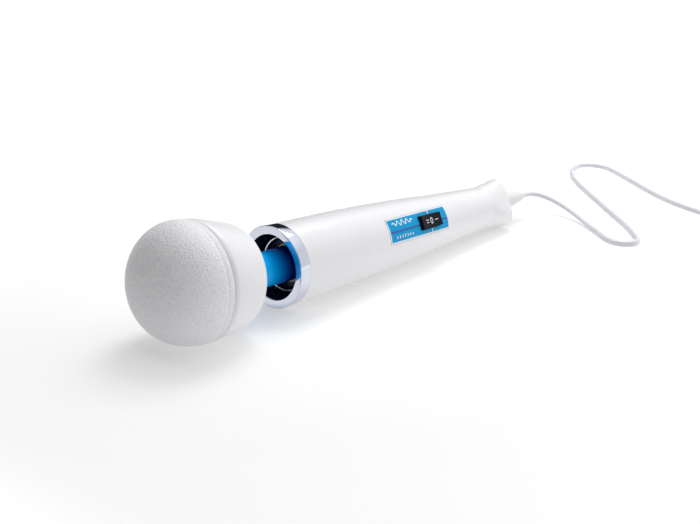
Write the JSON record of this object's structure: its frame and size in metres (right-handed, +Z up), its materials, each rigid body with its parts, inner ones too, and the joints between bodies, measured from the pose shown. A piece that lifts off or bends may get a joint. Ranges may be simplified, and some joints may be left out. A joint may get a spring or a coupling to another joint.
{
  "type": "handheld wand massager",
  "caption": "Corded wand massager lying on a table: round vinyl head with a weighted shaft, flexible blue neck, chrome ring, tapered white handle with a rocker switch, mains lead and plug.",
  "frame": {"origin": "on the table under the middle of the wand, half way between the tip of the head and the tip of the strain relief", "axes": "+X from the head towards the tail and the lead, +Y away from the viewer across the table, +Z up"},
  "size_m": [0.5488, 0.2082, 0.0632],
  "materials": {
    "head_vinyl": "soft white vinyl with a fine grain",
    "white_cover": "smooth satin-gloss white",
    "white_shell": "satin-gloss white moulding",
    "core_plastic": "moulded nylon",
    "chrome_trim": "polished chrome",
    "dark_collar": "black moulding",
    "blue_sleeve": "glossy blue",
    "steel": "turned steel",
    "weight_steel": "sintered iron",
    "coupling_rubber": "reinforced flexible hose",
    "label_film": "printed blue film with a white rim",
    "switch_black": "near-black satin",
    "terminal_brass": "bright",
    "copper": "copper, enamelled",
    "carbon": "carbon",
    "motor_alloy": "die cast",
    "lamination_steel": "stacked sheet steel",
    "mount_rubber": "soft rubber",
    "bronze": "sintered bronze",
    "fan_plastic": "moulded",
    "board": "phenolic board",
    "part_dark": "moulded",
    "capacitor_yellow": "box capacitor",
    "wire_vinyl": "wire insulation",
    "relief_vinyl": "off-white flexible vinyl",
    "cord_vinyl": "light grey-white flexible vinyl"
  },
  "bodies": {
    "handle": {"upper_shell": "white_shell", "lower_shell": "white_shell", "chrome_ring": "chrome_trim", "inner_collar": "dark_collar", "neck_clamp": "core_plastic", "label_plate": "label_film", "switch_body": "switch_black", "switch_terminals": "terminal_brass", "case_screws": "steel", "field_core": "lamination_steel", "field_coils": "copper", "front_motor_bracket": "motor_alloy", "rear_motor_bracket": "motor_alloy", "front_motor_bush": "bronze", "rear_motor_bush": "bronze", "front_motor_mount": "mount_rubber", "rear_motor_mount": "mount_rubber", "motor_bolts": "steel", "carbon_brushes": "carbon", "brush_holders": "terminal_brass", "brush_springs": "steel", "circuit_board": "board", "speed_diode": "part_dark", "thermal_fuse": "part_dark", "noise_capacitor": "capacitor_yellow", "lead_wires": "wire_vinyl", "inner_cord": "cord_vinyl", "cord_clamp": "core_plastic", "cord_clamp_screws": "steel", "strain_relief": "relief_vinyl", "power_cord": "cord_vinyl", "cord_coil": "cord_vinyl", "plug_lead": "cord_vinyl", "plug_body": "relief_vinyl", "plug_blades": "terminal_brass"},
    "neck": {"neck_sleeve": "blue_sleeve", "neck_spring": "steel"},
    "head": {"head_cushion": "head_vinyl", "head_rear_cover": "white_cover", "head_core_front": "core_plastic", "head_core_rear": "core_plastic", "head_core_screws": "steel", "front_bearing_outer_race": "steel", "rear_bearing_outer_race": "steel", "front_bearing_balls": "steel", "rear_bearing_balls": "steel"},
    "head_rotor": {"head_shaft": "steel", "eccentric_weight": "weight_steel", "weight_screw": "steel", "front_bearing_inner_race": "steel", "rear_bearing_inner_race": "steel"},
    "motor_rotor": {"motor_shaft": "steel", "armature_core": "lamination_steel", "armature_windings": "copper", "commutator": "copper", "cooling_fan": "fan_plastic", "drive_coupling": "coupling_rubber"},
    "rocker": {"rocker_button": "switch_black"}
  },
  "joints": [
    {"name": "neck_yaw", "type": "hinge", "parent": "handle", "child": "neck", "pos_m": [-0.0886, 0, 0.02516], "axis": [0.0368, 0, 0.9993], "range_deg": [-8, 8], "stiffness_Nm_per_rad": 4, "deforming": ["neck_sleeve", "neck_spring", "drive_coupling"]},
    {"name": "neck_pitch", "type": "hinge", "parent": "neck", "child": "head", "pos_m": [-0.09956, 0, 0.02599], "axis": [0, 1, 0], "range_deg": [-8, 8], "stiffness_Nm_per_rad": 4, "deforming": ["neck_sleeve", "neck_spring", "drive_coupling"]},
    {"name": "motor_spin", "type": "hinge", "parent": "handle", "child": "motor_rotor", "pos_m": [-0.05013, 0, 0.02375], "axis": [0.9993, 0, -0.0368], "continuous": true},
    {"name": "head_spin", "type": "hinge", "parent": "head", "child": "head_rotor", "pos_m": [-0.15062, 0, 0.03271], "axis": [0.9914, 0, -0.1305], "continuous": true},
    {"name": "rocker_press", "type": "hinge", "parent": "handle", "child": "rocker", "pos_m": [0.03123, -0.01233, 0.02651], "axis": [0.0333, 0.4226, 0.9057], "range_deg": [-7, 7]}
  ],
  "couplings": [
    {"joint": "head_spin", "follows": "motor_spin", "ratio": 1}
  ]
}
